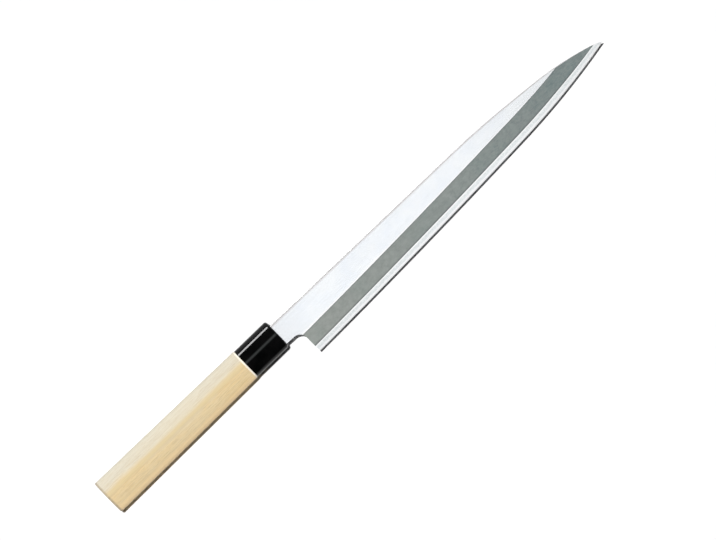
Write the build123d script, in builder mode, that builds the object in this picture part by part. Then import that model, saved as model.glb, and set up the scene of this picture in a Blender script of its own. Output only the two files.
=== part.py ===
import math
import os

from build123d import *

# A slicing knife with a single-bevel blade and a wooden handle of chestnut section.
# It lies level with the bevelled side up: +X runs along the handle to the tip, +Y to the
# spine and +Z out of the bevelled side. The origin is the centre of the flat butt.

# Handle: the section is an oval of arcs with a soft ridge on the bevelled side
handle_length = 135.0
butt_height = 22.2
seam_height = 20.2
ridge_rise_share = 0.46
back_depth_share = 0.40
side_radius_share = 0.29
facet_slope = 20.0
ridge_offset = 0.6
ridge_radius = 1.2
butt_chamfer = 0.8
shoulder_chamfer = 0.4

# Ferrule: a resin cap on the tenon of the wood
ferrule_length = 25.0
ferrule_step = 0.3
ferrule_wall = 1.8
ferrule_front_wall = 3.0
ferrule_front_round = 1.6
glue_gap = 0.05

# Blade outline, from the front of the ferrule
blade_length = 240.0
heel_gap = 10.6
heel_height = 30.1
spine_above_axis = 6.1
spine_fall = 0.55
neck_height = 14.0
neck_flare = 0.4
neck_fillet = 5.0
spine_bend_share = 0.551
brow_run_share, brow_height_share = 0.718, 0.896
nose_run_share, nose_height_share = 0.814, 0.827
point_run_share, point_height_share = 0.970, 0.584
tip_height_share = 0.479
belly_run_share, belly_height_share = 0.705, 0.188
edge_curve_share = 0.0040

# Blade thickness and grinding
neck_thickness = 3.8
tip_thickness = 1.9
bevel_width = 13.4
edge_bevel_width = 0.6
edge_bevel_height = 0.3
edge_steel_share = 0.33
edge_steel_neck = 6.0
hollow_radius = 180.0
hollow_rim = 1.8
hollow_place_shares = (0.012, 0.022, 0.045, 0.12, 0.30, 0.50, 0.68, 0.80, 0.88, 0.925, 0.945)
hollow_width_shares = (0.40, 0.72, 0.94, 1.0, 1.0, 1.0, 1.0, 1.0, 0.95, 0.75, 0.42)
bevel_stations = 5
belly_stations = 12
spine_chamfer = 0.8

# Tang inside the handle
tang_length = 95.0
tang_root_height = 9.5
tang_end_height = 5.0
tang_root_thickness = 3.2
tang_end_thickness = 2.0
slot_clearance = 0.4
slot_end_gap = 2.0
seal_depth = 9.0

# Every cut runs past the piece by this much, and edges nearer than this lie together
overrun = 2.0
same_place = 0.01

# Places worked out from the sizes
seam_x = handle_length - ferrule_length
heel_x = handle_length + heel_gap
back_level = -neck_thickness / 2
spine_slope = math.tan(math.radians(spine_fall))
heel_y = spine_above_axis - heel_gap * spine_slope - heel_height
tip_rise = tip_height_share * heel_height
blade_run = math.sqrt(blade_length**2 - tip_rise**2)
tip_x = heel_x + blade_run


def outline_point(run_share, height_share):
    """A point of the blade, by its share of the way to the tip and of the heel's height."""
    return Vector(heel_x + run_share * blade_run, heel_y + height_share * heel_height)


heel = outline_point(0, 0)
belly = outline_point(belly_run_share, belly_height_share)
tip = outline_point(1, tip_height_share)
point = outline_point(point_run_share, point_height_share)
nose = outline_point(nose_run_share, nose_height_share)
brow = outline_point(brow_run_share, brow_height_share)
bend_run = heel_gap + spine_bend_share * blade_run
spine_bend = Vector(handle_length + bend_run, spine_above_axis - bend_run * spine_slope)
spine_start = Vector(handle_length, spine_above_axis)
neck_bottom = Vector(handle_length, spine_above_axis - neck_height)
choil_top = Vector(heel_x, neck_bottom.Y - neck_flare)

edge_bulge = edge_curve_share * (belly - heel).length
with BuildLine() as edge_path:
    long_arc = SagittaArc(heel, belly, -edge_bulge)
    TangentArc(belly, tip, tangent=long_arc % 1)

with BuildLine() as spine_path:
    last = Line(spine_start, spine_bend)
    for start, end in ((spine_bend, brow), (brow, nose), (nose, point), (point, tip)):
        last = TangentArc(start, end, tangent=last % 1)
    Line(tip, tip + (last % 1) * overrun)

edge_line = edge_path.wires()[0]
spine_line = spine_path.wires()[0]


def along(line, share):
    """The point at a share of a line's length, and the direction there."""
    distance = share * line.length
    place = line.position_at(distance, position_mode=PositionMode.LENGTH)
    return place, line.tangent_at(distance, position_mode=PositionMode.LENGTH)


def thickness_at(x):
    """Blade thickness, which tapers evenly from the neck to the tip."""
    share = (x - handle_length) / (tip_x - handle_length)
    return neck_thickness + share * (tip_thickness - neck_thickness)


def layer_plane(share):
    """The tapering plane at a share of the blade's thickness above its flat back."""
    run = tip_x - handle_length
    fall = share * (neck_thickness - tip_thickness)
    start = (handle_length, 0, back_level + share * neck_thickness)
    return Plane(origin=start, x_dir=(run, 0, -fall), z_dir=(fall, 0, run))


def meeting(side_centre, side_radius, end, inward):
    """Where a side arc runs into the flatter arc that ends square to the inward direction."""
    reach = end - side_centre
    spare = reach.dot(inward) + side_radius
    flat_radius = (side_radius**2 - reach.dot(reach)) / (2 * spare)
    flat_centre = end + inward * flat_radius
    return side_centre + (side_centre - flat_centre).normalized() * side_radius


def chestnut(height, inset):
    """Handle section for a height, drawn in by an inset: tangent arcs up to a soft ridge."""
    half = height / 2 - inset
    side_radius = side_radius_share * height - inset
    slope = math.radians(facet_slope)
    ridge = Vector(ridge_offset, ridge_rise_share * height - inset / math.cos(slope))
    back = Vector(0, inset - back_depth_share * height)
    with BuildSketch() as section:
        with BuildLine():
            for side in (-1, 1):
                side_centre = Vector(side * (half - side_radius), 0)
                down_slope = Vector(side * math.cos(slope), -math.sin(slope))
                inward = Vector(-side * math.sin(slope), -math.cos(slope))
                upper = meeting(side_centre, side_radius, ridge, inward)
                lower = meeting(side_centre, side_radius, back, Vector(0, 1))
                TangentArc(ridge, upper, tangent=down_slope)
                ThreePointArc(upper, (side * half, 0), lower)
                TangentArc(back, lower, tangent=(side, 0))
        make_face()
        fillet(section.vertices().sort_by_distance(ridge)[0], ridge_radius)
    return section.sketch


def on_spine(edge):
    """Whether an edge of the blade runs along its spine."""
    middle = edge @ 0.5
    return spine_line.distance_to(Vertex(middle.X, middle.Y, 0)) < same_place


# Blade blank, with its neck and tang, before it is split into its two steels
with BuildPart() as blade:
    with BuildSketch(Plane.XY.offset(back_level)):
        with BuildLine():
            add(spine_path.line)
            outer_heel = heel - Vector(0, overrun)
            outer_belly = belly - Vector(0, overrun)
            spine_end = spine_path.line @ 1
            outer_tip = spine_end - Vector(0, overrun)
            SagittaArc(outer_heel, outer_belly, -edge_bulge)
            TangentArc(outer_belly, outer_tip, tangent=long_arc % 1)
            Line(outer_tip, spine_end)
            Polyline(outer_heel, choil_top, neck_bottom, spine_start)
        face = make_face()
        fillet(face.vertices().sort_by_distance(choil_top)[0], neck_fillet)
    extrude(amount=neck_thickness)
    split(bisect_by=layer_plane(1), keep=Keep.BOTTOM)
    top_edges = faces().sort_by(Axis.Z)[-1].edges()
    chamfer(top_edges.filter_by(on_spine), spine_chamfer)

    # The long bevel keeps one width along the edge and ends in a narrow, steeper one
    belly_share = (belly - heel).length / edge_line.length
    straight_shares = [belly_share * step / bevel_stations for step in range(bevel_stations)]
    curved_shares = [
        belly_share + (1 - belly_share) * step / belly_stations
        for step in range(belly_stations + 1)
    ]
    for share in straight_shares + curved_shares:
        place, heading = along(edge_line, share)
        if share == 0:
            place = place - heading * overrun
        if share == 1:
            place = place + heading * 2 * overrun
        rise = thickness_at(place.X) - edge_bevel_height
        slope = rise / (bevel_width - edge_bevel_width)
        top = neck_thickness + overrun
        origin = place + Vector(0, 0, back_level)
        with BuildSketch(Plane(origin=origin, x_dir=(-heading.Y, heading.X, 0), z_dir=heading)):
            with BuildLine():
                Polyline(
                    (-2 * overrun, -2 * overrun * edge_bevel_height / edge_bevel_width),
                    (edge_bevel_width, edge_bevel_height),
                    (bevel_width + overrun, edge_bevel_height + rise + slope * overrun),
                    (bevel_width + overrun, top),
                    (-2 * overrun, top),
                    close=True,
                )
            make_face()
    loft(ruled=True, mode=Mode.SUBTRACT)

    # The hollow of the back is ground on a large wheel and leaves a flat rim round it
    first = heel_gap / spine_line.length
    last = 1 - overrun / spine_line.length
    for place_share, width_share in zip(hollow_place_shares, hollow_width_shares):
        low = along(edge_line, place_share)[0]
        high = along(spine_line, first + (last - first) * place_share)[0]
        across = high - low
        half = width_share * (across.length / 2 - hollow_rim)
        depth = hollow_radius - math.sqrt(hollow_radius**2 - half**2)
        origin = (low + high) / 2 + Vector(0, 0, back_level)
        with BuildSketch(Plane(origin=origin, x_dir=across, z_dir=across.cross(Vector(0, 0, 1)))):
            with BuildLine():
                ThreePointArc((-half, 0), (0, depth), (half, 0))
                Polyline((half, 0), (half, -overrun), (-half, -overrun), (-half, 0))
            make_face()
    loft(ruled=True, mode=Mode.SUBTRACT)

    with BuildSketch(Plane.YZ.offset(handle_length)):
        Rectangle(tang_root_height, tang_root_thickness)
    with BuildSketch(Plane.YZ.offset(handle_length - tang_length)):
        Rectangle(tang_end_height, tang_end_thickness)
    loft()

# Hard steel of the back and the edge, welded under the soft iron
with BuildPart() as edge_steel:
    add(blade.part)
    split(bisect_by=layer_plane(edge_steel_share), keep=Keep.BOTTOM)
    split(bisect_by=Plane.YZ.offset(handle_length + edge_steel_neck), keep=Keep.TOP)

# Soft iron of the flat, the upper bevel, the neck and the tang
with BuildPart() as blade_body:
    add(blade.part)
    add(edge_steel.part, mode=Mode.SUBTRACT)

# Slot for the tang through the ferrule's front and down the wood
with BuildPart() as tang_slot:
    with BuildSketch(Plane.YZ.offset(handle_length)):
        Rectangle(tang_root_height + 2 * slot_clearance, tang_root_thickness + 2 * slot_clearance)
    with BuildSketch(Plane.YZ.offset(handle_length - tang_length - slot_end_gap)):
        Rectangle(tang_end_height + 2 * slot_clearance, tang_end_thickness + 2 * slot_clearance)
    loft()

# Resin set round the tang at the mouth of its slot
with BuildPart() as tang_seal:
    add(tang_slot.part)
    split(bisect_by=Plane.YZ.offset(handle_length - seal_depth), keep=Keep.TOP)
    add(blade.part, mode=Mode.SUBTRACT)

# Resin cap, glued over the tenon
with BuildPart() as ferrule:
    with BuildSketch(Plane.YZ.offset(seam_x)):
        add(chestnut(seam_height, ferrule_step))
    extrude(amount=ferrule_length)
    fillet(faces().sort_by(Axis.X)[-1].edges(), ferrule_front_round)
    with BuildSketch(Plane.YZ.offset(seam_x)):
        add(chestnut(seam_height, ferrule_step + ferrule_wall))
    extrude(amount=ferrule_length - ferrule_front_wall, mode=Mode.SUBTRACT)
    add(tang_slot.part, mode=Mode.SUBTRACT)

# Wooden grip with the tenon that carries the ferrule
with BuildPart() as handle:
    sections = (
        (0, butt_height, butt_chamfer),
        (butt_chamfer, butt_height, 0),
        (seam_x - shoulder_chamfer, seam_height, 0),
        (seam_x, seam_height, shoulder_chamfer),
    )
    for x, height, inset in sections:
        with BuildSketch(Plane.YZ.offset(x)):
            add(chestnut(height, inset))
    loft(ruled=True)
    with BuildSketch(Plane.YZ.offset(seam_x)):
        add(chestnut(seam_height, ferrule_step + ferrule_wall + glue_gap))
    extrude(amount=ferrule_length - ferrule_front_wall)
    add(tang_slot.part, mode=Mode.SUBTRACT)

os.makedirs("parts", exist_ok=True)
pieces = {
    "blade_body": blade_body,
    "edge_steel": edge_steel,
    "tang_seal": tang_seal,
    "ferrule": ferrule,
    "handle": handle,
}
for name, piece in pieces.items():
    piece.part.label = name
    export_step(piece.part, f"parts/{name}.step")
    print(name, round(piece.part.volume), "cubic millimetres")
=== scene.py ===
# %% [markdown]
# # A single-bevel slicing knife
# The knife is long and thin, so nearly all of its look comes from a few long surfaces: the
# polished flat, the hazy bevel, the bright strip of hard steel along the edge, the black cap and
# the pale wood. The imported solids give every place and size. Each piece below follows them and
# adds the soft edges, the grinding and the grain that the solids leave out.

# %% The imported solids
import math

import bmesh
import bpy
import numpy as np
from mathutils import Matrix, Vector


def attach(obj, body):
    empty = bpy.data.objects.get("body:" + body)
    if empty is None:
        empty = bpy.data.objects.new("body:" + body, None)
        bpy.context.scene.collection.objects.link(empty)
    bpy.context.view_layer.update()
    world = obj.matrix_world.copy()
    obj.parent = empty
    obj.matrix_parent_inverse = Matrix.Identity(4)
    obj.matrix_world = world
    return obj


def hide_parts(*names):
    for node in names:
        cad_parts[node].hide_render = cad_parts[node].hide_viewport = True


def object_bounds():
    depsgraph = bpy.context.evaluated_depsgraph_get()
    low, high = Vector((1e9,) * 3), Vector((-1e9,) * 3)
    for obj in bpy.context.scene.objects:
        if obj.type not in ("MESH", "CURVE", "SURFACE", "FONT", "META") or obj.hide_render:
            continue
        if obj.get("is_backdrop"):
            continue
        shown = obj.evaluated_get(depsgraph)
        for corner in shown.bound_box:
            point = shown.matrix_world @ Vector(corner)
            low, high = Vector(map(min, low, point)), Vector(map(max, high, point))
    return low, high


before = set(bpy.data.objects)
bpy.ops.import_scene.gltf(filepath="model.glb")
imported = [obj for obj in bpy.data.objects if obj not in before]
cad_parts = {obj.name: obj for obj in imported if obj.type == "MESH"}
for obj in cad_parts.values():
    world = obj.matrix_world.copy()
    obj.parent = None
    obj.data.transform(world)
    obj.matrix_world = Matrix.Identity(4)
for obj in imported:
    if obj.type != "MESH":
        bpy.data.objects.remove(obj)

cad_low, cad_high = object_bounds()
mm = 0.001


def in_mm(lengths):
    """One or more lengths in millimetres, for printing."""
    return np.round(np.array(lengths) / mm, 2)


print("solids:", sorted(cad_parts))
print("box in mm:", in_mm(cad_high - cad_low))

# %% [markdown]
# ## Camera
# The photograph looks straight down on the bevelled side from far away, so the camera hangs
# above the blade with a long lens and is turned about the upright axis until the knife lies on
# the diagonal. A near lens would widen the tip or the butt, which the photograph doesn't show.

# %% Camera
camera_place = (193.5 * mm, -6.06 * mm, 6.8306)
knife_turn = math.radians(44.14)


def add(name, data):
    """A new object in the scene."""
    made = bpy.data.objects.new(name, data)
    bpy.context.scene.collection.objects.link(made)
    return made


camera = add("camera", bpy.data.cameras.new("camera"))
camera.data.lens = 600
camera.data.sensor_width = 36
camera.matrix_world = Matrix.Translation(camera_place) @ Matrix.Rotation(-knife_turn, 4, "Z")
bpy.context.scene.camera = camera
print("camera:", round(camera_place[2], 2), "m up, with a lens of", camera.data.lens, "mm")

# %% [markdown]
# ## Light
# Polished steel shows what is above it, so a soft panel hangs straight over the flat, like the
# cloth of a light tent. The bevel leans away from the spine and needs a panel of its own. Both
# only feed reflections. The sheet is lit by a sharp lamp, almost overhead, that leans in from
# the spine's side and leaves the thin dark line of shadow along the edge. It is kept out of
# reflections, because the photograph has no sharp glint, and the room adds very little, so the
# shadow stays deep. A small lamp low on the same side draws the gleam along the black cap.
# Each panel is given by how bright it looks, and its power follows from that and its size.

# %% Panels
def facing(aim):
    """The turn that points a lamp along an aim."""
    return Vector(aim).to_track_quat("-Z", "Y").to_matrix().to_4x4()


def panel(name, place, target, size, glow):
    """A rectangular area lamp at a place, facing a target, that looks as bright as its glow."""
    lamp = bpy.data.lights.new(name, "AREA")
    lamp.shape = "RECTANGLE"
    lamp.size, lamp.size_y = size
    lamp.energy = glow * math.pi * size[0] * size[1]
    made = add(name, lamp)
    made.matrix_world = Matrix.Translation(place) @ facing(target - place)
    return made


middle = (cad_low + cad_high) / 2
cap_place = Vector((125 * mm, 0, 0))
over_flat, over_bevel = Vector((0, 0, 3.3)), Vector((0, -1.45, 3.1))
beside_cap = Vector((0.022, 1.0, 0.16))

flat_panel = panel("flat_panel", middle + over_flat, middle, (1.5, 1.3), 1.12)
bevel_panel = panel("bevel_panel", middle + over_bevel, middle, (1.3, 1.3), 1.0)
flat_panel.visible_diffuse = bevel_panel.visible_diffuse = False
gleam = panel("gleam_lamp", cap_place + beside_cap, cap_place, (0.13, 0.12), 36.0)
gleam.visible_camera = gleam.visible_diffuse = False
print("panels:", flat_panel.name, bevel_panel.name, gleam.name)

# %% Key lamp and room
key_way = (0.03, -0.18, -1.0)
key_strength = 4.0
key_softness = math.radians(1.8)
room_glow = 0.025

key = add("key", bpy.data.lights.new("key", "SUN"))
key.data.energy = key_strength
key.data.angle = key_softness
key.matrix_world = facing(key_way)
key.visible_glossy = False

world = bpy.data.worlds.new("studio")
world.use_nodes = True
world.node_tree.nodes["Background"].inputs["Color"].default_value = (1.0, 1.0, 1.0, 1.0)
world.node_tree.nodes["Background"].inputs["Strength"].default_value = room_glow
bpy.context.scene.world = world
bpy.context.scene.view_settings.view_transform = "Standard"

# %% [markdown]
# ## Short ways to build node trees
# A finish is a small tree of nodes. One helper adds a node, sets its options and either fills or
# joins its inputs, so that a finish below reads as a list of what it is made of.

# %% Node helpers
def node(tree, kind, inputs=None, **options):
    """Add a node, set its options, and fill its inputs with values or with other sockets."""
    made = tree.nodes.new(kind)
    for option, value in options.items():
        setattr(made, option, value)
    for name, value in (inputs or {}).items():
        if isinstance(value, bpy.types.NodeSocket):
            tree.links.new(value, made.inputs[name])
        else:
            made.inputs[name].default_value = value
    return made


def new_group(name, kind, inputs, outputs):
    """A node group and its end nodes. An input is given by its number or its kind of socket."""
    group = bpy.data.node_groups.new(name, kind)
    for label, value in inputs.items():
        socket = {int: "Int", float: "Float"}.get(type(value), value)
        made = group.interface.new_socket(
            label, in_out="INPUT", socket_type="NodeSocket" + socket)
        if socket != value:
            made.default_value = value
    for label, socket in outputs.items():
        group.interface.new_socket(label, in_out="OUTPUT", socket_type="NodeSocket" + socket)
    return group, group.nodes.new("NodeGroupInput"), group.nodes.new("NodeGroupOutput")


print("trees and groups can be built")

# %% Arithmetic in a tree
def math_of(tree, operation, first, second=0.0):
    """The socket of a sum, product or other step of arithmetic."""
    return node(tree, "ShaderNodeMath", {0: first, 1: second}, operation=operation).outputs[0]


def times(tree, first, second):
    """The socket of a product."""
    return math_of(tree, "MULTIPLY", first, second)


def minus(tree, first, second):
    """The socket of a difference."""
    return math_of(tree, "SUBTRACT", first, second)


def remap(tree, value, low, high, to_low=0.0, to_high=1.0):
    """The socket of a value moved from one range to another, held at its ends."""
    ranges = {"From Min": low, "From Max": high, "To Min": to_low, "To Max": to_high}
    return node(tree, "ShaderNodeMapRange", {"Value": value, **ranges}).outputs["Result"]


def between(tree, mask, low, high):
    """The socket of a value that a mask moves from a low to a high."""
    return remap(tree, mask, 0.0, 1.0, low, high)


def near_line(tree, value, line, far, near):
    """A mask that grows as a value comes close to a line."""
    away = math_of(tree, "ABSOLUTE", minus(tree, value, line))
    return remap(tree, away, far, near)


def parts_of(tree, vector):
    """The X, Y and Z sockets of a vector."""
    return node(tree, "ShaderNodeSeparateXYZ", {0: vector}).outputs


def vector_of(tree, x=0.0, y=0.0, z=0.0):
    """The socket of a vector with these parts."""
    return node(tree, "ShaderNodeCombineXYZ", {0: x, 1: y, 2: z}).outputs[0]


print("trees can calculate")

# %% Colours in a tree
def blend(tree, factor, first, second):
    """The socket of a colour between two colours, each a socket or three numbers."""
    ready = [c if isinstance(c, bpy.types.NodeSocket) else (*c, 1.0) for c in (first, second)]
    inputs = {"Factor": factor, 6: ready[0], 7: ready[1]}
    return node(tree, "ShaderNodeMix", inputs, data_type="RGBA").outputs[2]


def coats(tree, base, *layers):
    """Lay coats over a base colour; each has a mask, the most that it covers, and a colour."""
    for mask, most, color in layers:
        base = blend(tree, mask if most == 1.0 else times(tree, mask, most), base, color)
    return base


print("trees can mix colours")

# %% [markdown]
# ## Effects that several finishes share
# Ground steel, sanded wood and polished resin all show long fine lines. One group draws them: it
# stretches a noise along the piece, so that each patch becomes a line. A second group draws soft
# clouds of tone, as stone leaves on steel and as wood has by nature. A third makes narrow bands at
# the two borders of a surface, which some finishes tint as stone marks and others as painted
# highlight and painted shade.

# %% Fine lines
lines_group, got, out = new_group(
    "fine_lines", "ShaderNodeTree",
    {"Place": "Vector", "Along": 20.0, "Across": 2000.0, "Softness": 0.2},
    {"Lines": "Float"},
)
size = got.outputs
stretch = vector_of(lines_group, size["Along"], size["Across"], size["Across"])
place = node(
    lines_group, "ShaderNodeVectorMath", {0: size["Place"], 1: stretch}, operation="MULTIPLY")
noise = node(lines_group, "ShaderNodeTexNoise", {
    "Vector": place.outputs[0], "Scale": 1.0, "Detail": 3.0, "Roughness": 0.65})
low = minus(lines_group, 0.5, size["Softness"])
high = math_of(lines_group, "ADD", 0.5, size["Softness"])
lines_group.links.new(remap(lines_group, noise.outputs[0], low, high), out.inputs["Lines"])
print("group:", lines_group.name)

# %% Soft clouds
thin_cloud, thick_cloud = 0.38, 0.62
clouds_group, got, out = new_group(
    "soft_clouds", "ShaderNodeTree",
    {"Place": "Vector", "Per Metre": 60.0}, {"Clouds": "Float"},
)
noise = node(clouds_group, "ShaderNodeTexNoise", {
    "Vector": got.outputs["Place"], "Scale": got.outputs["Per Metre"],
    "Detail": 4.0, "Roughness": 0.6})
cloud = remap(clouds_group, noise.outputs[0], thin_cloud, thick_cloud)
clouds_group.links.new(cloud, out.inputs["Clouds"])
print("group:", clouds_group.name)

# %% Border bands
borders_group, got, out = new_group(
    "border_bands", "ShaderNodeTree",
    {"Across": 0.0, "Low Width": 0.05, "High Width": 0.05}, {"Low": "Float", "High": "Float"},
)
size = got.outputs
low = remap(borders_group, size["Across"], 0.0, size["Low Width"], 1.0, 0.0)
start = minus(borders_group, 1.0, size["High Width"])
high = remap(borders_group, size["Across"], start, 1.0)
borders_group.links.new(low, out.inputs["Low"])
borders_group.links.new(high, out.inputs["High"])
print("group:", borders_group.name)

# %% Placing the effects
def lines(tree, place, along, across, softness=0.2):
    """A mask of fine lines, with so many changes in a metre along and across them."""
    inputs = {"Place": place, "Along": along, "Across": across, "Softness": softness}
    return node(tree, "ShaderNodeGroup", inputs, node_tree=lines_group).outputs["Lines"]


def clouds(tree, place, per_metre):
    """A mask of soft clouds."""
    inputs = {"Place": place, "Per Metre": per_metre}
    return node(tree, "ShaderNodeGroup", inputs, node_tree=clouds_group).outputs["Clouds"]


def borders(tree, across, low_width, high_width):
    """Masks of the bands at the low and the high border."""
    inputs = {"Across": across, "Low Width": low_width, "High Width": high_width}
    made = node(tree, "ShaderNodeGroup", inputs, node_tree=borders_group)
    return made.outputs["Low"], made.outputs["High"]


print("effects can be placed")

# %% A finish, ready to be painted
def new_finish(name, color, roughness, metallic=0.0, **fixed):
    """A material with a Principled shader, its tree, and the sockets for place and bands."""
    material = bpy.data.materials.new(name)
    material.use_nodes = True
    tree = material.node_tree
    shader = tree.nodes["Principled BSDF"]
    shader.inputs["Base Color"].default_value = (*color, 1.0)
    shader.inputs["Roughness"].default_value = roughness
    shader.inputs["Metallic"].default_value = metallic
    for label, value in fixed.items():
        shader.inputs[label.replace("_", " ")].default_value = value
    return material, tree, shader, node(tree, "ShaderNodeTexCoord").outputs


def paint(tree, shader, color, roughness=None, height=None, depth=0.0):
    """Join a colour, a roughness, and a height with a real depth to the shader."""
    tree.links.new(color, shader.inputs["Base Color"])
    if roughness is not None:
        tree.links.new(roughness, shader.inputs["Roughness"])
    if height is not None:
        bump = node(tree, "ShaderNodeBump", {"Height": height, "Distance": depth, "Strength": 1.0})
        tree.links.new(bump.outputs[0], shader.inputs["Normal"])


print("finishes can be painted")

# %% [markdown]
# ## Steel finishes on the bevelled side
# The flat is polished along the blade and shows long hairlines. It is nearly white, because it
# mirrors the panel above. The bevel is rubbed with a soft stone until the soft iron turns to a
# grey haze, and the same stone leaves the hard steel bright. That contrast is the mark of a
# laminated blade, so the two get separate materials and not one picture. The blade's UV map
# gives the distance from the heel in metres, and the share of the way across each surface.

# %% Polished flat
flat_polish, tree, shader, at = new_finish("flat_polish", (0.90, 0.91, 0.93), 0.22, 0.75)
band = parts_of(tree, at["UV"])
hair = lines(tree, at["Object"], 4.0, 4600.0, 0.25)
mist = clouds(tree, at["Object"], 60.0)
grain = clouds(tree, at["Object"], 700.0)
by_bevel, painted_spine_shade = borders(tree, band["Y"], 0.09, 0.08)
base = coats(
    tree, blend(tree, hair, (0.875, 0.905, 0.935), (0.925, 0.945, 0.965)),
    (mist, 0.8, (0.835, 0.875, 0.935)),
    (grain, 0.28, (0.80, 0.825, 0.845)),
    # painted shade: the flat is darker towards the tip and by the heel, where it mirrors less of
    # the panel
    (remap(tree, band["X"], 0.13, 0.225), 1.0, (0.765, 0.785, 0.80)),
    (remap(tree, band["X"], 0.012, -0.01), 0.8, (0.80, 0.82, 0.845)),
    # painted shade: a pinkish grey band along the spine's border widens the dark reflection of the
    # rounded spine
    (painted_spine_shade, 0.75, (0.60, 0.57, 0.56)),
    (by_bevel, 0.9, (0.995, 0.995, 1.0)),
)
paint(tree, shader, base, between(tree, hair, 0.18, 0.28), hair, 0.0003 * mm)
print("finish:", flat_polish.name)

# %% Hazed bevel
haze, tree, shader, at = new_finish("haze", (0.33, 0.35, 0.335), 0.5, 0.55)
band = parts_of(tree, at["UV"])
mottle = clouds(tree, at["Object"], 260.0)
sweep = clouds(tree, at["Object"], 45.0)
grit = lines(tree, at["Object"], 600.0, 1700.0, 0.22)
by_strip, by_flat = borders(tree, band["Y"], 0.11, 0.09)
rims = math_of(tree, "MAXIMUM", times(tree, by_strip, 0.85), times(tree, by_flat, 0.45))
# painted shade: the bevel's tones turn darker and bluer towards the tip, as the light it mirrors
# falls off
painted_tip_shade = remap(tree, band["X"], 0.0, 0.235)
dull = blend(tree, painted_tip_shade, (0.350, 0.390, 0.360), (0.152, 0.216, 0.220))
clear = blend(tree, painted_tip_shade, (0.480, 0.525, 0.490), (0.244, 0.314, 0.316))
base = coats(
    tree, blend(tree, mottle, dull, clear),
    (sweep, 0.40, dull),
    (remap(tree, sweep, 1.0, 0.5), 0.10, (0.44, 0.37, 0.36)),
    (grit, 0.35, (0.56, 0.59, 0.57)),
    (rims, 1.0, (0.13, 0.15, 0.15)),
)
stone_marks = math_of(tree, "ADD", mottle, grit)
paint(tree, shader, base, between(tree, mottle, 0.44, 0.56), stone_marks, 0.002 * mm)
print("finish:", haze.name)

# %% Bright strip of hard steel
bright, tree, shader, at = new_finish("bright_steel", (0.90, 0.92, 0.925), 0.33, 0.4)
band = parts_of(tree, at["UV"])
cross = lines(tree, at["UV"], 1500.0, 2.2)
stone = lines(tree, at["Object"], 900.0, 1500.0)
rims = math_of(tree, "MAXIMUM", *borders(tree, band["Y"], 0.34, 0.34))
marks = times(tree, cross, minus(tree, 1.0, rims))
before_tip = remap(tree, band["X"], 0.15, 0.236, 0.0, 0.14)
at_tip = remap(tree, band["X"], 0.236, 0.245, 0.0, 0.5)
base = coats(
    tree, blend(tree, marks, (0.92, 0.96, 0.97), (0.64, 0.685, 0.70)),
    (stone, 0.30, (0.98, 0.99, 0.995)),
    (rims, 1.0, (0.99, 0.995, 1.0)),
    (math_of(tree, "ADD", before_tip, at_tip), 1.0, (0.50, 0.53, 0.53)),
)
paint(tree, shader, base, between(tree, marks, 0.28, 0.42), marks, 0.001 * mm)
print("finish:", bright.name)

# %% [markdown]
# ## Steel finishes on the edges and the back
# Every other face of the blade is ruled by the tool that made it: a stone along the spine and
# the rim, a file across the choil, a wheel across the hollow. They differ only in their numbers,
# so one function makes them all. The weld inside the blade is never ground and stays cloudy.

# %% Ruled steel
def ruled_steel(
        name, plain, rule, dark, light, shine=None, depth=None, turn=0.0, place="Object",
        stain=None):
    """Steel with fine lines: its plain look, how they run, their tones, and a cloudy stain."""
    material, tree, shader, at = new_finish(name, *plain)
    where = at[place]
    if turn:
        turned = {"Vector": where, "Rotation": (0.0, 0.0, turn)}
        where = node(tree, "ShaderNodeMapping", turned).outputs[0]
    ruled = lines(tree, where, *rule)
    base = blend(tree, ruled, dark, light)
    if stain:
        base = coats(tree, base, (clouds(tree, at["Object"], 30.0), 0.25, stain))
    roughness = between(tree, ruled, *shine) if shine else None
    paint(tree, shader, base, roughness, ruled if depth else None, depth)
    return material


keen = ruled_steel(
    "keen_edge", ((0.95, 0.96, 0.97), 0.2, 0.25), (9000.0, 1.0),
    (0.84, 0.85, 0.86), (0.99, 0.99, 0.99), (0.12, 0.25), place="UV")
eased = ruled_steel(
    "eased_spine", ((0.80, 0.79, 0.79), 0.4, 0.6), (40.0, 6000.0),
    (0.72, 0.71, 0.71), (0.88, 0.87, 0.87), (0.34, 0.50), 0.001 * mm)
filed = ruled_steel(
    "filed_choil", ((0.70, 0.71, 0.72), 0.35, 0.8), (60.0, 4000.0),
    (0.60, 0.61, 0.62), (0.80, 0.81, 0.82), depth=0.0015 * mm, turn=math.pi / 2)
ground = ruled_steel(
    "hollow_back", ((0.72, 0.73, 0.74), 0.3, 0.85), (25.0, 3600.0),
    (0.62, 0.63, 0.645), (0.80, 0.81, 0.82), (0.24, 0.38), 0.0015 * mm, math.radians(78),
    stain=(0.56, 0.57, 0.59))
rim = ruled_steel(
    "stoned_rim", ((0.88, 0.89, 0.90), 0.16, 0.85), (30.0, 7000.0, 0.22),
    (0.82, 0.83, 0.84), (0.94, 0.95, 0.96), (0.12, 0.22))
print("finishes:", [m.name for m in (keen, eased, filed, ground, rim)])

# %% Cloudy finishes
def cloudy(name, plain, per_metre, dark, light, **fixed):
    """A finish with nothing on it but soft clouds between two tones."""
    material, tree, shader, at = new_finish(name, *plain, **fixed)
    paint(tree, shader, blend(tree, clouds(tree, at["Object"], per_metre), dark, light))
    return material


weld = cloudy(
    "weld", ((0.30, 0.30, 0.30), 0.6, 0.8), 200.0, (0.24, 0.24, 0.24), (0.36, 0.35, 0.34))
print("finish:", weld.name)

# %% [markdown]
# ## The outline of the blade
# Two long lines carry the blade: the cutting edge and the spine. A smith would draw each as a
# few arcs that run into each other without a kink, and so does this script, with the same named
# sizes as the solids. Every surface of the blade is then measured from the edge inwards, because
# the bevel keeps nearly one width along it.

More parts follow.
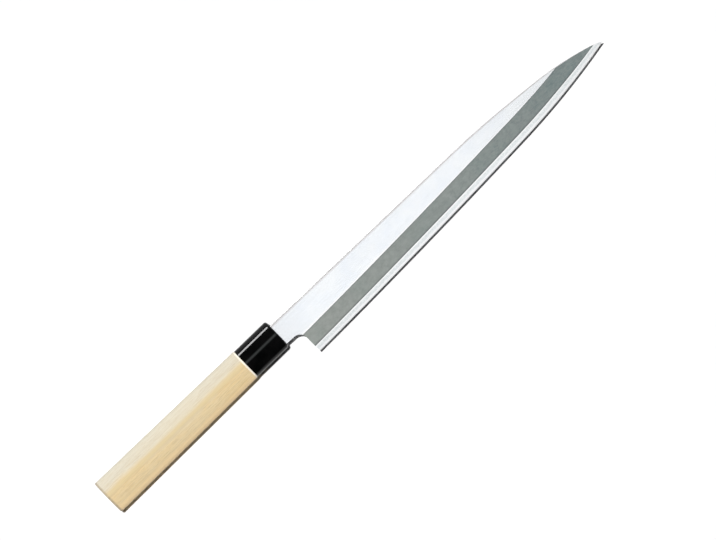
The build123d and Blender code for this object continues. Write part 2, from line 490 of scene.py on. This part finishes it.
# %% Sizes of the blade
front_x = 135.0 * mm
heel_x = 145.6 * mm
blade_length = 240.0 * mm
heel_height = 30.1 * mm
spine_level = 6.1 * mm
spine_fall = math.radians(0.55)
neck_height = 14.0 * mm
neck_flare = 0.4 * mm
neck_fillet = 5.0 * mm
neck_thickness = 3.8 * mm
tip_thickness = 1.9 * mm
koba_width = 0.6 * mm
koba_height = 0.3 * mm
weld_share = 0.33
steel_start = 141.0 * mm
hollow_radius = 180.0 * mm
hollow_rim = 1.8 * mm
spine_round = 0.8 * mm
back_round = 0.15 * mm
most_round = 0.3  # of the height or width that is left, where the blade gets thin

# %% Places along the blade, as shares of its run and of the heel's height
tip_share = 0.479
belly_share = (0.705, 0.188)
spine_bend = 0.551
spine_shares = ((0.718, 0.896), (0.814, 0.827), (0.970, 0.584))
edge_bow = 0.0040  # rise of the long arc over its chord
behind_front = 10 * mm

heel_y = spine_level - (heel_x - front_x) * math.tan(spine_fall) - heel_height
blade_run = math.sqrt(blade_length**2 - (tip_share * heel_height) ** 2)
tip_x = heel_x + blade_run
back_level = -neck_thickness / 2
print("heel at", in_mm(heel_y), "mm and tip at", in_mm(tip_x), "mm")

# %% Cutting edge and spine
def blade_point(run_share, height_share):
    """A point of the blade, by its share of the way to the tip and of the heel's height."""
    return np.array((heel_x + run_share * blade_run, heel_y + height_share * heel_height))


def arc(start, end, heading, count=80):
    """Points of the arc that leaves one point along a heading and reaches another."""
    chord = end - start
    bend = 2 * (math.atan2(chord[1], chord[0]) - heading)
    radius = math.hypot(*chord) / (2 * math.sin(bend / 2))
    angle = heading + bend * np.linspace(0, 1, count)
    across = radius * (np.sin(angle) - math.sin(heading))
    up = radius * (math.cos(heading) - np.cos(angle))
    return np.column_stack((start[0] + across, start[1] + up)), heading + bend


heel, belly, tip = blade_point(0, 0), blade_point(*belly_share), blade_point(1, tip_share)
first_heading = math.atan2(*(belly - heel)[::-1]) - 2 * math.atan(2 * edge_bow)
long_arc, belly_heading = arc(heel, belly, first_heading, 200)
belly_arc, _ = arc(belly, tip, belly_heading, 200)
edge_points = np.vstack((long_arc, belly_arc[1:]))

bend_run = heel_x - front_x + spine_bend * blade_run
bend_point = np.array((front_x + bend_run, spine_level - bend_run * math.tan(spine_fall)))
spine_start = (front_x - behind_front, spine_level + behind_front * math.tan(spine_fall))
spine_points = [np.array([spine_start])]
corner, heading = bend_point, -spine_fall
for following in (*(blade_point(*share) for share in spine_shares), tip):
    points, heading = arc(corner, following, heading)
    spine_points.append(points if corner is bend_point else points[1:])
    corner = following
spine_points = np.vstack(spine_points)

edge_steps = np.hypot(*np.diff(edge_points, axis=0).T)
edge_run = np.concatenate(([0], np.cumsum(edge_steps)))
print("cutting edge:", in_mm(edge_run[-1]), "mm; tip at", in_mm(tip))

# %% [markdown]
# ## Sections across the blade
# The blade is made like the ribs and planks of a boat. Sections stand across it, close together
# towards the tip and at the round end of the hollow, and each is a closed loop of points given
# as a distance from the edge and a height. Joining them gives long clean faces that follow the
# grinding, and so the light runs along them as it does on the real blade. The iron and the hard
# steel are separate loops that share the line where they are welded.

# %% Measuring from the edge
def edge_at(run):
    """The point and the heading of the cutting edge at a distance from the heel."""
    x = np.interp(run, edge_run, edge_points[:, 0])
    y = np.interp(run, edge_run, edge_points[:, 1])
    middles = (edge_run[1:] + edge_run[:-1]) / 2
    headings = np.arctan2(*np.diff(edge_points, axis=0).T[::-1])
    return np.array((x, y)), float(np.interp(run, middles, headings))


def width_to_spine(low, inward):
    """How far the spine lies from a point of the edge, square to the edge."""
    near, far = 0.0, 60 * mm
    for _ in range(50):
        half = (near + far) / 2
        point = low + inward * half
        if point[1] < np.interp(point[0], spine_points[:, 0], spine_points[:, 1]):
            near = half
        else:
            far = half
    return near


def thickness_at(x):
    """Blade thickness, which tapers evenly from the neck to the tip."""
    return neck_thickness + (x - front_x) / (tip_x - front_x) * (tip_thickness - neck_thickness)


print("width at the heel:", in_mm(width_to_spine(heel, np.array((0.0, 1.0)))), "mm")

# %% Where the sections stand
# shares of the cutting edge's length
hollow_from, hollow_swell, hollow_to, hollow_fade = 0.007, 0.05, 0.95, 0.11
closer_from, tip_part = 0.80, 0.03
neck_step, heel_margin = 1.0 * mm, 0.2 * mm


def stations(from_x):
    """Edge point, inward direction, distance along the edge and width of every section."""
    found = []
    for x in np.arange(from_x, heel_x - heel_margin, neck_step):
        back_off = heel_x - x
        low = heel - back_off * np.array((1.0, math.tan(first_heading)))
        found.append((low, first_heading * (1 - back_off / (heel_x - front_x)), -back_off))
    round_end = hollow_from + hollow_swell * (1 - np.cos(np.linspace(0, math.pi / 2, 16)))
    shares = np.concatenate((
        [0], round_end,
        np.linspace(round_end[-1], closer_from, 100)[1:],
        np.linspace(closer_from, hollow_to, 46)[1:],
        np.linspace(hollow_to, 1 - tip_part, 8)[1:],
        1 - tip_part * np.linspace(1, 0, 36)[1:] ** 1.5,
    ))
    for share in shares:
        low, lean = edge_at(share * edge_run[-1])
        found.append((low, lean, share * edge_run[-1]))
    ready = []
    for low, lean, run in found:
        inward = np.array((-math.sin(lean), math.cos(lean)))
        ready.append((low, inward, run, width_to_spine(low, inward)))
    return ready


iron_sections, steel_sections = stations(front_x), stations(steel_start)
print("sections:", len(iron_sections), "of iron and", len(steel_sections), "of hard steel")

# %% Heights across one section
# stops are shares of the cutting edge's length
bevel_stops = (0.68, 0.77, 0.815, 0.86)
bevel_widths = (13.4 * mm, 13.15 * mm, 12.95 * mm, 12.8 * mm)
strip_stops = (0, 0.62, 0.84, 1)
strip_widths = (3.75 * mm, 3.95 * mm, 3.8 * mm, 3.1 * mm)


def section_shape(low, inward, run, width):
    """The levels and borders that both steels share in one section."""
    thick = thickness_at(low[0])
    bevel = float(np.interp(run / edge_run[-1], bevel_stops, bevel_widths))
    slope = (thick - koba_height) / (bevel - koba_width)
    lean = -inward[0] * (neck_thickness - tip_thickness) / (tip_x - front_x)
    line = (thick - koba_height + koba_width * slope) / (slope - lean)

    def top(distance):
        if distance < koba_width:
            level = distance * koba_height / koba_width
        else:
            level = koba_height + (distance - koba_width) * slope
        return back_level + min(level, thickness_at(low[0] + inward[0] * distance))

    ease = min(spine_round, most_round * (top(width) - back_level))
    shoulder = width - ease
    weld_level = back_level + weld_share * thickness_at(low[0])
    return {
        "top": top, "ease": ease, "shoulder": shoulder,
        "strip": min(float(np.interp(run / edge_run[-1], strip_stops, strip_widths)), shoulder),
        "line": min(line, shoulder),
        "weld": min(weld_level, top(shoulder) - ease),
    }


def hollow_share(run):
    """How much of its full width the hollow of the back has at a distance from the heel."""
    share = run / edge_run[-1]
    if share <= hollow_from or share >= hollow_to:
        return 0.0
    start = min(1.0, (share - hollow_from) / hollow_swell)
    end = min(1.0, (hollow_to - share) / hollow_fade)
    return math.sqrt(1 - (1 - start) ** 2) * math.sqrt(1 - (1 - end) ** 2)


print("flat starts", in_mm(section_shape(*iron_sections[60])["line"]), "mm from the edge")

# %% Skinning the sections
same_place = 0.0005 * mm


def skin(name, sections, loop_of, bands):
    """One closed mesh over a row of sections; bands give each face its finish and its shares."""
    loops, runs = [loop_of(*s) for s in sections], [s[2] for s in sections]
    finishes = list(dict.fromkeys(finish for finish, _, _ in bands))
    count, rows = len(loops), len(loops[0])
    faces, slots, marks = [], [], []
    for i in range(count - 1):
        for j in range(rows):
            k = (j + 1) % rows
            faces.append((i * rows + j, i * rows + k, (i + 1) * rows + k, (i + 1) * rows + j))
            finish, low, high = bands[j]
            slots.append(finishes.index(finish))
            marks.append(((runs[i], low), (runs[i], high), (runs[i + 1], high), (runs[i + 1], low)))
    mesh = bpy.data.meshes.new(name)
    mesh.from_pydata(np.array(loops).reshape(-1, 3).tolist(), [], faces)
    for finish in finishes:
        mesh.materials.append(finish)
    mesh.polygons.foreach_set("material_index", slots)
    mesh.uv_layers.new(name="bands").data.foreach_set("uv", np.array(marks).ravel())
    work = bmesh.new()
    work.from_mesh(mesh)
    work.verts.ensure_lookup_table()
    work.faces.new([work.verts[j] for j in range(rows)])
    bmesh.ops.remove_doubles(work, verts=work.verts, dist=same_place)
    bmesh.ops.dissolve_degenerate(work, edges=work.edges, dist=same_place)
    bmesh.ops.recalc_face_normals(work, faces=work.faces)
    if work.calc_volume(signed=True) < 0:
        bmesh.ops.reverse_faces(work, faces=work.faces)
    work.to_mesh(mesh)
    work.free()
    return add(name, mesh)


def lay(low, inward, loop):
    """Turn a loop of distances and heights into points of the model."""
    return [(*(low + inward * distance), height) for distance, height in loop]


def bands_of(*parts):
    """The finish and the shares across for every face of a loop, part by part."""
    result = []
    for finish, cells in parts:
        result += [(finish, cell / cells, (cell + 1) / cells) for cell in range(cells)]
    return result


print("sections can be skinned")

# %% [markdown]
# ## Soft iron and hard steel
# On the real blade the two steels are one bar, forged together. Here they are two meshes that
# meet on the weld, so the strip can be bright and the iron hazy, and each stays a closed shape.
# The hollow of the back is part of a large cylinder, as the grinding wheel leaves it, with a
# narrow flat rim that touches the stone. Behind the start of the hard steel the iron has the
# neck's full thickness, and its back is finished like the spine.

# %% Iron: hazed bevel, polished flat and eased spine
bevel_cells, flat_cells, ease_cells = 8, 10, 6
just_before = 0.01 * mm


def iron_loop(low, inward, run, width):
    """The iron's loop in one section, from the strip up to the spine and back along the weld."""
    shape = section_shape(low, inward, run, width)
    top, ease = shape["top"], shape["ease"]
    bottom = shape["weld"] if run >= steel_start - heel_x - just_before else back_level
    rise = np.linspace(shape["strip"], shape["line"], bevel_cells + 1)
    over = np.linspace(shape["line"], shape["shoulder"], flat_cells + 1)[1:]
    loop = [(d, top(d)) for d in np.concatenate((rise, over))]
    centre = top(shape["shoulder"]) - ease
    for angle in np.linspace(math.pi / 2, 0, ease_cells + 1)[1:]:
        loop.append((shape["shoulder"] + ease * math.cos(angle), centre + ease * math.sin(angle)))
    loop += [(width, (centre + bottom) / 2), (width, bottom)]
    return lay(low, inward, loop)


iron = skin("iron", iron_sections, iron_loop, bands_of(
    (haze, bevel_cells), (flat_polish, flat_cells), (eased, ease_cells + 2), (weld, 1)))
weld_slot, spine_slot = (iron.data.materials.find(m.name) for m in (weld, eased))
for face in iron.data.polygons:
    if face.material_index == weld_slot and face.center.x < steel_start:
        face.material_index = spine_slot
print("iron:", len(iron.data.polygons), "faces")

# %% Hard steel: strip, cutting edge and hollow back
strip_cells, hollow_cells = 5, 18
arc_dip = 0.3  # share of the radius between a corner and the middle of its rounding


def steel_loop(low, inward, run, width):
    """The steel's loop in one section, from the edge over the strip and under the back."""
    shape = section_shape(low, inward, run, width)
    top, strip = shape["top"], shape["strip"]
    koba = min(koba_width, strip)
    loop = [(0.0, back_level), (koba, top(koba))]
    loop += [(d, top(d)) for d in np.linspace(koba, strip, strip_cells + 1)[1:]]
    loop.append((width, shape["weld"]))
    ease = min(back_round, most_round * (shape["weld"] - back_level))
    dip = arc_dip * ease
    loop += [(width, back_level + ease), (width - dip, back_level + dip)]
    loop.append((width - ease, back_level))
    reach = hollow_share(run) * max(0.0, width / 2 - hollow_rim)
    floor = math.sqrt(hollow_radius**2 - reach**2)
    for side in np.linspace(1, -1, hollow_cells + 1):
        offset = side * reach
        depth = math.sqrt(hollow_radius**2 - offset**2) - floor
        loop.append((width / 2 + offset, back_level + depth))
    return lay(low, inward, loop)


steel = skin("hard_steel", steel_sections, steel_loop, bands_of(
    (keen, 1), (bright, strip_cells), (weld, 1), (eased, 3), (rim, 1), (ground, hollow_cells),
    (rim, 1)))
print("hard steel:", len(steel.data.polygons), "faces")

# %% [markdown]
# ## Cutting out the neck
# The blade is narrower where it enters the handle. A smith files that corner out of the bar with
# a round file, and a Boolean does the same: a block with a rounded corner is taken away from both
# steels. Building the corner into the sections would bend all their long rows.

# %% Arcs round a centre
def on_circle(centre, radius, start, end, count):
    """Points of the shorter arc round a centre between the directions of two points."""
    from_angle = math.atan2(*(start - centre)[::-1])
    turn = math.atan2(*(end - centre)[::-1]) - from_angle
    turn = (turn + math.pi) % (2 * math.pi) - math.pi
    angle = from_angle + turn * np.linspace(0, 1, count)
    return centre + radius * np.column_stack((np.cos(angle), np.sin(angle)))


print("arcs can be drawn")

# %% Outline of the block
block_back, block_low, block_half = 25 * mm, -45 * mm, 6 * mm

corner = np.array((heel_x, spine_level - neck_height - neck_flare))
under_neck = np.array((front_x, spine_level - neck_height)) - corner
under_neck /= np.linalg.norm(under_neck)
down = np.array((0.0, -1.0))
opening = math.acos(float(under_neck @ down))
reach = neck_fillet / math.tan(opening / 2)
halfway = (under_neck + down) / np.linalg.norm(under_neck + down)
centre = corner + halfway * neck_fillet / math.sin(opening / 2)
rounded = on_circle(
    centre, neck_fillet, corner + under_neck * reach, corner + down * reach, 25)
outside = corner + under_neck * block_back
outline = [outside, *rounded, np.array((heel_x, block_low)), np.array((outside[0], block_low))]
print("corner of the neck:", len(rounded), "points on its fillet")

# %% The block that is taken away
def add_work(name, work, finish):
    """A new object from mesh work, in one finish."""
    mesh = bpy.data.meshes.new(name)
    work.to_mesh(mesh)
    work.free()
    mesh.materials.append(finish)
    return add(name, mesh)


work = bmesh.new()
face = work.faces.new([work.verts.new((x, y, -block_half)) for x, y in outline])
pushed = bmesh.ops.extrude_face_region(work, geom=[face])["geom"]
lifted = [v for v in pushed if isinstance(v, bmesh.types.BMVert)]
bmesh.ops.translate(work, vec=(0, 0, 2 * block_half), verts=lifted)
bmesh.ops.recalc_face_normals(work, faces=work.faces)
block = add_work("neck_block", work, filed)
print("block:", len(block.data.polygons), "faces")

# %% Cutting, settling and shading
def settle(piece):
    """Make a piece's modifiers real and take them off."""
    evaluated = piece.evaluated_get(bpy.context.evaluated_depsgraph_get())
    mesh = bpy.data.meshes.new_from_object(evaluated)
    piece.modifiers.clear()
    piece.data = mesh
    mesh.name = piece.name


def crease(piece, angle):
    """Shade a piece smooth, but keep a crisp line where the finish or the slope changes."""
    work = bmesh.new()
    work.from_mesh(piece.data)
    for face in work.faces:
        face.smooth = True
    for edge in work.edges:
        sides = edge.link_faces
        if len(sides) == 2:
            crisp = sides[0].material_index != sides[1].material_index
            edge.smooth = not (crisp or sides[0].normal.angle(sides[1].normal, 0) > angle)
    work.to_mesh(piece.data)
    work.free()


def cut_away(piece, tool, crisp_angle, **options):
    """Take a tool's shape out of a piece, and shade the piece again."""
    cut = piece.modifiers.new("cut", "BOOLEAN")
    cut.operation, cut.solver, cut.object = "DIFFERENCE", "EXACT", tool
    for option, value in options.items():
        setattr(cut, option, value)
    settle(piece)
    crease(piece, crisp_angle)


for piece in (iron, steel):
    cut_away(piece, block, math.radians(30), material_mode="TRANSFER")
bpy.data.objects.remove(block)
print("after the cut:", len(iron.data.polygons), "and", len(steel.data.polygons), "faces")

# %% [markdown]
# ## Cards for the blade
# Seen from low down, polished steel mirrors the far side of the room, and an empty room is dark.
# Photographers stand white cards round a blade for this. Four of them stand round the table here.
# They are linked to the blade alone, give no diffuse light and stay out of the camera's view, so
# that the cap stays black and the shadow keeps its depth.

# %% White cards
card_distance, card_height, card_size, card_glow = 3.2, 1.1, (5.0, 1.8), 0.5

blade_only = bpy.data.collections.new("blade_only")
for piece in (iron, steel):
    blade_only.objects.link(piece)
for label, way in (("left", (-1, 0)), ("right", (1, 0)), ("near", (0, -1)), ("far", (0, 1))):
    stand = middle + Vector((card_distance * way[0], card_distance * way[1], card_height))
    card = panel("card_" + label, stand, middle, card_size, card_glow)
    card.visible_camera = card.visible_diffuse = False
    card.light_linking.receiver_collection = blade_only

# %% [markdown]
# ## Wood and resin finishes
# The wood is pale and nearly even. Its growth rings bend round a heart that lies far outside the
# handle, so they show as lines along the sides and as arcs on the butt. Painted shade makes it
# warmer on the edge's facet and darker along the ridge. Painted light brightens the edge's side
# where it rolls under and the spine's side near its border. A thin pale line where it meets the cap
# is a painted highlight. The rim of the butt shows darker end grain, deepened by painted shade. It
# is left bare, so it stays matt. The cap is polished resin: almost black, with a thin gleam, a few
# hairlines from wiping, and a thin grey line painted along the ridge as a highlight.

# %% Bare wood: its lines
grain_tilt = (0.5, 0.0, 0.012)
heart_aside, heart_below = 62.0 * mm, 30.0 * mm

pale_wood, tree, shader, at = new_finish(
    "pale_wood", (0.78, 0.68, 0.49), 0.55, Specular_IOR_Level=0.35)
turn = node(tree, "ShaderNodeMapping", {"Vector": at["Object"], "Rotation": grain_tilt})
apart = parts_of(tree, turn.outputs[0])
to_heart = vector_of(
    tree, y=math_of(tree, "ADD", apart["Y"], heart_aside),
    z=math_of(tree, "ADD", apart["Z"], heart_below))
from_heart = node(tree, "ShaderNodeVectorMath", {0: to_heart}, operation="LENGTH")
ring_place = vector_of(tree, apart["X"], from_heart.outputs["Value"])
rings = lines(tree, ring_place, 6.0, 620.0)
fibre = lines(tree, turn.outputs[0], 90.0, 2600.0)
pores = lines(tree, turn.outputs[0], 130.0, 3000.0, 0.06)
pits = remap(tree, pores, 0.80, 1.0, 0.0, 0.40)
patch = clouds(tree, at["Object"], 25.0)
print("finish:", pale_wood.name, "has its lines")

# %% Bare wood: its tones
butt_end, cap_end = 0.9 * mm, 109.3 * mm

spot = parts_of(tree, at["Object"])
wandering = math_of(tree, "ADD", spot["Y"], times(tree, patch, 3.0 * mm))
# painted shade: below a wandering line the edge's facet is warmer, as the facet turned from the
# light
painted_facet_shade = remap(tree, wandering, 5.2 * mm, 0.0)
pale = blend(tree, painted_facet_shade, (0.635, 0.590, 0.490), (0.775, 0.590, 0.305))
deep = blend(tree, painted_facet_shade, (0.595, 0.540, 0.425), (0.725, 0.520, 0.248))
end_grain_and_shade = blend(tree, rings, (0.50, 0.42, 0.30), (0.33, 0.26, 0.18))
by_butt, painted_seam_highlight = borders(tree, remap(tree, spot["X"], butt_end, cap_end), 0.006, 0.006)
base = coats(
    tree, blend(tree, rings, pale, deep),
    (fibre, 0.35, (0.80, 0.72, 0.55)),
    (pits, 1.0, (0.50, 0.38, 0.22)),
    (patch, 0.25, (0.72, 0.63, 0.45)),
    # painted light: the edge's side turns brighter and more orange where the section rolls under
    (remap(tree, spot["Y"], -6.8 * mm, -10.4 * mm), 0.85, (1.0, 0.74, 0.40)),
    # painted sheen: the spine's side turns paler towards its border
    (remap(tree, spot["Y"], 6.0 * mm, 10.4 * mm), 0.35, (0.88, 0.84, 0.70)),
    # painted shade: a darker line runs along the ridge, where the two facets meet
    (near_line(tree, spot["Y"], 1.0 * mm, 2.4 * mm, 0.5 * mm), 0.75, (0.62, 0.49, 0.27)),
    # painted highlight: a thin pale line on the wood where it meets the cap
    (painted_seam_highlight, 1.0, (0.95, 0.89, 0.76)),
    # darker ring tones along the butt's rim: its end grain, deepened by painted shade where the
    # rounding turns from the light
    (by_butt, 0.8, end_grain_and_shade),
)
open_grain = minus(tree, fibre, pits)
paint(tree, shader, base, between(tree, fibre, 0.48, 0.62), open_grain, 0.012 * mm)
print("finish:", pale_wood.name, "has its tones")

# %% Black resin and the seal
black_resin, tree, shader, at = new_finish(
    "black_resin", (0.002, 0.002, 0.0025), 0.08, Specular_IOR_Level=0.14)
spot = parts_of(tree, at["Object"])
wipes = lines(tree, at["Object"], 25.0, 2600.0, 0.12)
mist = clouds(tree, at["Object"], 90.0)
by_ridge = near_line(tree, spot["Y"], 0.4 * mm, 1.1 * mm, 0.2 * mm)
# painted highlight: a thin grey line along the top of the ridge, where the cap mirrors the light
# above
painted_ridge_highlight = times(tree, by_ridge, remap(tree, spot["Z"], 6.0 * mm, 8.0 * mm))
base = coats(
    tree, blend(tree, mist, (0.0010, 0.0012, 0.0012), (0.003, 0.003, 0.003)),
    (painted_ridge_highlight, 1.0, (0.022, 0.024, 0.024)),
)
worn = between(tree, times(tree, wipes, mist), 0.05, 0.12)
paint(tree, shader, base, worn, wipes, 0.0005 * mm)

seal_resin = cloudy(
    "seal_resin", ((0.30, 0.22, 0.12), 0.45), 400.0, (0.22, 0.15, 0.08), (0.38, 0.29, 0.17))
print("finishes:", black_resin.name, seal_resin.name)

# %% [markdown]
# ## Handle section
# The section is called a chestnut: an oval whose bevelled side rises to a soft ridge that sits
# under the fingers. It is drawn from arcs that touch, so that no corner shows except the ridge.
# A smaller arc then rounds that corner, as sanding does.

# %% Arcs that touch
def flat_arc(side_centre, side_radius, end, inward):
    """Centre, radius and meeting point of the flatter arc from a side arc to a point."""
    reach = end - side_centre
    radius = (side_radius**2 - reach @ reach) / (2 * (reach @ inward + side_radius))
    centre = end + inward * radius
    toward = side_centre - centre
    return centre, radius, side_centre + toward / np.linalg.norm(toward) * side_radius


def rounding_centre(a, ra, b, rb):
    """The upper of the two points at given distances from two centres."""
    gap = np.linalg.norm(b - a)
    along = (ra**2 - rb**2 + gap**2) / (2 * gap)
    axis = (b - a) / gap
    off = math.sqrt(ra**2 - along**2) * np.array((-axis[1], axis[0]))
    return max(a + axis * along + off, a + axis * along - off, key=lambda point: point[1])


print("arcs can be joined")

# %% Drawing the chestnut
side_share, ridge_share, low_share = 0.29, 0.46, 0.40
facet_slope = math.radians(20)
ridge_shift = 0.6 * mm
ridge_radius = 2.6 * mm


def chestnut(height, inset):
    """Points round the handle's section, from the ridge round the spine's side and back."""
    half = height / 2 - inset
    side_radius = side_share * height - inset
    ridge = np.array((ridge_shift, ridge_share * height - inset / math.cos(facet_slope)))
    low = np.array((0.0, inset - low_share * height))
    halves = []
    for side in (1, -1):
        side_centre = np.array((side * (half - side_radius), 0.0))
        inward = np.array((-side * math.sin(facet_slope), -math.cos(facet_slope)))
        facet = flat_arc(side_centre, side_radius, ridge, inward)
        belly = flat_arc(side_centre, side_radius, low, np.array((0.0, 1.0)))
        halves.append((facet, side_centre, belly))
    (a, ra, _), (b, rb, _) = (facet for facet, _, _ in halves)
    crest = rounding_centre(a, ra - ridge_radius, b, rb - ridge_radius)
    sides = []
    for (centre, radius, upper), side_centre, (under, under_radius, lower) in halves:
        touch = centre + (crest - centre) / np.linalg.norm(crest - centre) * radius
        widest = np.array((side_centre[0] * 2, 0.0))
        sides.append((touch, np.vstack((
            on_circle(centre, radius, touch, upper, 14)[:-1],
            on_circle(side_centre, side_radius, upper, widest, 13)[:-1],
            on_circle(side_centre, side_radius, widest, lower, 13)[:-1],
            on_circle(under, under_radius, lower, low, 16)[:-1],
        ))))
    (right_touch, right), (left_touch, left) = sides
    ridge_arc = on_circle(crest, ridge_radius, left_touch, right_touch, 9)[:-1]
    return np.vstack((ridge_arc, right, [low], left[:0:-1]))


butt_height, seam_height = 22.2 * mm, 20.2 * mm
sample = chestnut(butt_height, 0)
print("butt:", len(sample), "points,", in_mm(np.ptp(sample, axis=0)), "mm")

# %% [markdown]
# ## One tree for both handle pieces
# The grip and its cap are the same kind of shape: a section carried along a straight line, a
# little smaller or larger at each end, with its end edges rounded over. That is a rule, so
# Geometry Nodes make both from named sizes. The path gets more points near its ends, where the
# rounding is, and each point's scale follows a quarter circle there.

# %% The path of the tapered bar
bar, got, out = new_group(
    "tapered_bar", "GeometryNodeTree",
    {"Section": "Geometry", "Rear": 0.0, "Front": 0.1, "Rear Scale": 1.0, "Front Scale": 1.0,
     "Half Height": 0.01, "Rear Round": 0.001, "Front Round": 0.001, "Rings": 90,
     "Finish": "Material"},
    {"Bar": "Geometry"},
)
size = {s.name: s for s in got.outputs}
path = node(bar, "GeometryNodeCurvePrimitiveLine", {
    "Start": vector_of(bar, size["Rear"]), "End": vector_of(bar, size["Front"])})
path = node(bar, "GeometryNodeResampleCurve", {"Curve": path.outputs[0], "Count": size["Rings"]})
share = node(bar, "GeometryNodeSplineParameter").outputs["Factor"]
swing = math_of(bar, "COSINE", times(bar, share, math.pi))
crowded = times(bar, minus(bar, 1.0, swing), 0.5)
length = minus(bar, size["Front"], size["Rear"])
x = math_of(bar, "ADD", size["Rear"], times(bar, crowded, length))
path = node(bar, "GeometryNodeSetPosition", {
    "Geometry": path.outputs[0], "Position": vector_of(bar, x)})
print("path:", len(bar.nodes), "nodes")

# %% Its rounded ends, its skin and its finish
def rounding(distance, radius):
    """How far the surface draws in at a distance from an end, along a quarter circle."""
    passed = math_of(bar, "DIVIDE", distance, radius)
    left = math_of(bar, "MAXIMUM", minus(bar, 1.0, passed), 0.0)
    square = minus(bar, 1.0, times(bar, left, left))
    height = math_of(bar, "SQRT", math_of(bar, "MAXIMUM", square, 0.0))
    return times(bar, minus(bar, 1.0, height), radius)


here = parts_of(bar, node(bar, "GeometryNodeInputPosition").outputs[0])[0]
from_rear = minus(bar, here, size["Rear"])
from_front = minus(bar, size["Front"], here)
draw_in = math_of(
    bar, "ADD", rounding(from_rear, size["Rear Round"]), rounding(from_front, size["Front Round"]))
gone = math_of(bar, "DIVIDE", from_rear, length)
taper = between(bar, gone, size["Rear Scale"], size["Front Scale"])
scale = minus(bar, taper, math_of(bar, "DIVIDE", draw_in, size["Half Height"]))
profile = node(bar, "GeometryNodeMeshToCurve", {"Mesh": size["Section"]})
swept = node(bar, "GeometryNodeCurveToMesh", {
    "Curve": path.outputs[0], "Profile Curve": profile.outputs[0], "Scale": scale,
    "Fill Caps": True})
solid = node(bar, "GeometryNodeRealizeInstances", {"Geometry": swept.outputs[0]})
dressed = node(bar, "GeometryNodeSetMaterial", {
    "Geometry": solid.outputs[0], "Material": size["Finish"]})
bar.links.new(dressed.outputs[0], out.inputs["Bar"])
print("tree:", bar.name, "with", len(bar.nodes), "nodes")

# %% Making a piece from the tree
handle_crisp = math.radians(35)


def make_bar(name, section, **sizes):
    """A handle piece from the tree. The path turns a section half round, so it goes in turned."""
    count = len(section)
    ring = [(i, (i + 1) % count) for i in range(count)]
    loop = bpy.data.meshes.new(name + "_section")
    loop.from_pydata([(-y, -z, 0.0) for y, z in section], ring, [])
    piece = add(name, loop)
    modifier = piece.modifiers.new("bar", "NODES")
    modifier.node_group = bar
    for item in bar.interface.items_tree:
        label = item.name.replace(" ", "_").lower()
        if item.in_out == "INPUT" and label in sizes:
            modifier[item.identifier] = sizes[label]
    settle(piece)
    crease(piece, handle_crisp)
    return piece


print("bars can be made")

# %% [markdown]
# ## Grip and cap
# The grip is widest at the butt and narrows towards the cap, and its front edge is rounded a
# little. The thin bright line where it meets the cap is a painted highlight on the wood. The cap
# stands a hair lower than the wood. Its front edge is well rounded, and a slot in it takes the
# tang.

# %% Grip
seam_x = 110.0 * mm
mean_height = (butt_height + seam_height) / 2
grip_inset, cap_inset = 0.01 * mm, 0.31 * mm

grip = make_bar(
    "grip", chestnut(mean_height, grip_inset), rear=0.0, front=seam_x,
    rear_scale=butt_height / mean_height, front_scale=seam_height / mean_height,
    half_height=mean_height / 2, rear_round=0.75 * mm, front_round=0.6 * mm, rings=150,
    finish=pale_wood,
)
print("grip:", len(grip.data.polygons), "faces")

# %% Cap
slot_size = (12 * mm, 10.3 * mm, 4.0 * mm)
slot_place = (132 * mm, 0, 0)

cap = make_bar(
    "cap", chestnut(seam_height, cap_inset), rear=seam_x, front=front_x, rear_scale=1.0,
    front_scale=1.0, half_height=9.8 * mm, rear_round=0.12 * mm, front_round=1.6 * mm, rings=110,
    finish=black_resin,
)
work = bmesh.new()
bmesh.ops.create_cube(work, size=1.0)
bmesh.ops.scale(work, vec=slot_size, verts=work.verts)
bmesh.ops.translate(work, vec=slot_place, verts=work.verts)
slot_block = add_work("slot_block", work, black_resin)
cut_away(cap, slot_block, handle_crisp)
bpy.data.objects.remove(slot_block)
print("cap:", len(cap.data.polygons), "faces")

# %% [markdown]
# ## Which solid each piece stands for
# Every piece takes the place of one solid, which is hidden, and hangs from the root body. The seal
# is out of sight, so its solid stays and only gets a finish.

# %% Pieces and their solids
for piece, node_name, slot_name in (
        (iron, "blade_body", "soft_iron"), (steel, "edge_steel", "hard_steel"),
        (grip, "handle", "pale_wood"), (cap, "ferrule", "black_resin")):
    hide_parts(node_name)
    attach(piece, "root")
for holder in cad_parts["tang_seal"].material_slots:
    holder.material = seal_resin
print("pieces:", iron.name, steel.name, grip.name, cap.name)

# %% [markdown]
# ## Floor
# The knife lies on a plain pale sheet, so that nothing competes with it. A very soft change of
# tone keeps the sheet from looking like a flat fill in the other views.

# %% Pale sheet
sheet_level = cad_low.z - 0.02 * mm
sheet_half = 6.0

sheet_paper = cloudy(
    "sheet_paper", ((0.81, 0.81, 0.81), 0.9), 1.5, (0.80, 0.80, 0.80), (0.82, 0.82, 0.82),
    Specular_IOR_Level=0.1)
work = bmesh.new()
bmesh.ops.create_grid(work, x_segments=4, y_segments=4, size=sheet_half)
bmesh.ops.translate(work, vec=(middle.x, middle.y, sheet_level), verts=work.verts)
pale_sheet = add_work("pale_sheet", work, sheet_paper)
pale_sheet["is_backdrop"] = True
print("sheet at", in_mm(sheet_level), "mm")

# %% [markdown]
# ## Sizes kept
# Arcs that are cut into short faces can stand out of the solids' box by a hair. The blade's points
# are drawn back to the box before the dressed box is printed.

# %% Sizes kept, and the end
for piece in (iron, steel):
    for vertex in piece.data.vertices:
        vertex.co = np.clip(vertex.co, cad_low, cad_high)
    piece.data.update()
low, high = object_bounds()
print("dressed box in mm:", in_mm(high - low))
